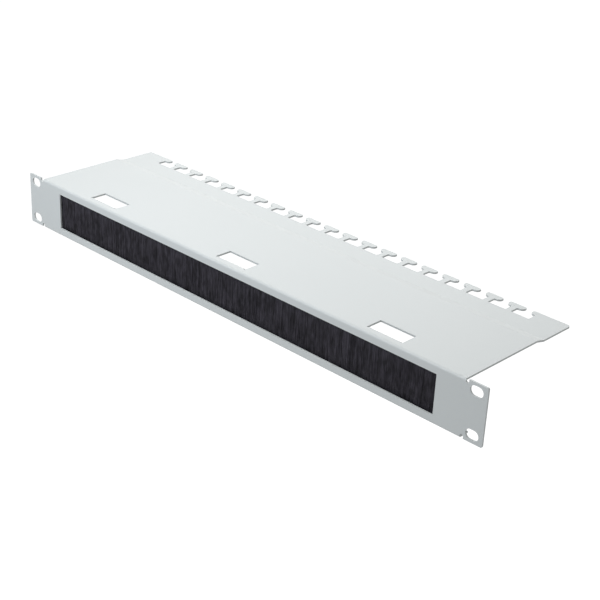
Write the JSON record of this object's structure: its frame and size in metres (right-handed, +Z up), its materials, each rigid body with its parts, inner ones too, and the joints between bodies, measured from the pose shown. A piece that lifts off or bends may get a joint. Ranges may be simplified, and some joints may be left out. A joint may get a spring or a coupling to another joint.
{
  "type": "rack cable management panel",
  "caption": "Low rack panel of folded sheet steel with a brush-filled cable window, mounting ears and a rear tray edged with T-shaped fingers for tying cables.",
  "frame": {"origin": "centre of the four rack slots, on the rear face of the front sheet, which seats on the rack rails", "axes": "+X to the right seen from the front, +Y to the rear, +Z up; -Y points out of the rack towards the user"},
  "size_m": [0.4826, 0.117, 0.0442],
  "materials": {
    "panel": "satin light grey powder coat",
    "brush_channel": "zinc plated",
    "brush_core_wire": "drawn wire",
    "brush_bristles": "black plastic bristles"
  },
  "bodies": {
    "root": {"panel": "panel", "brush_channel": "brush_channel", "brush_core_wire": "brush_core_wire", "brush_bristles": "brush_bristles"}
  },
  "joints": []
}
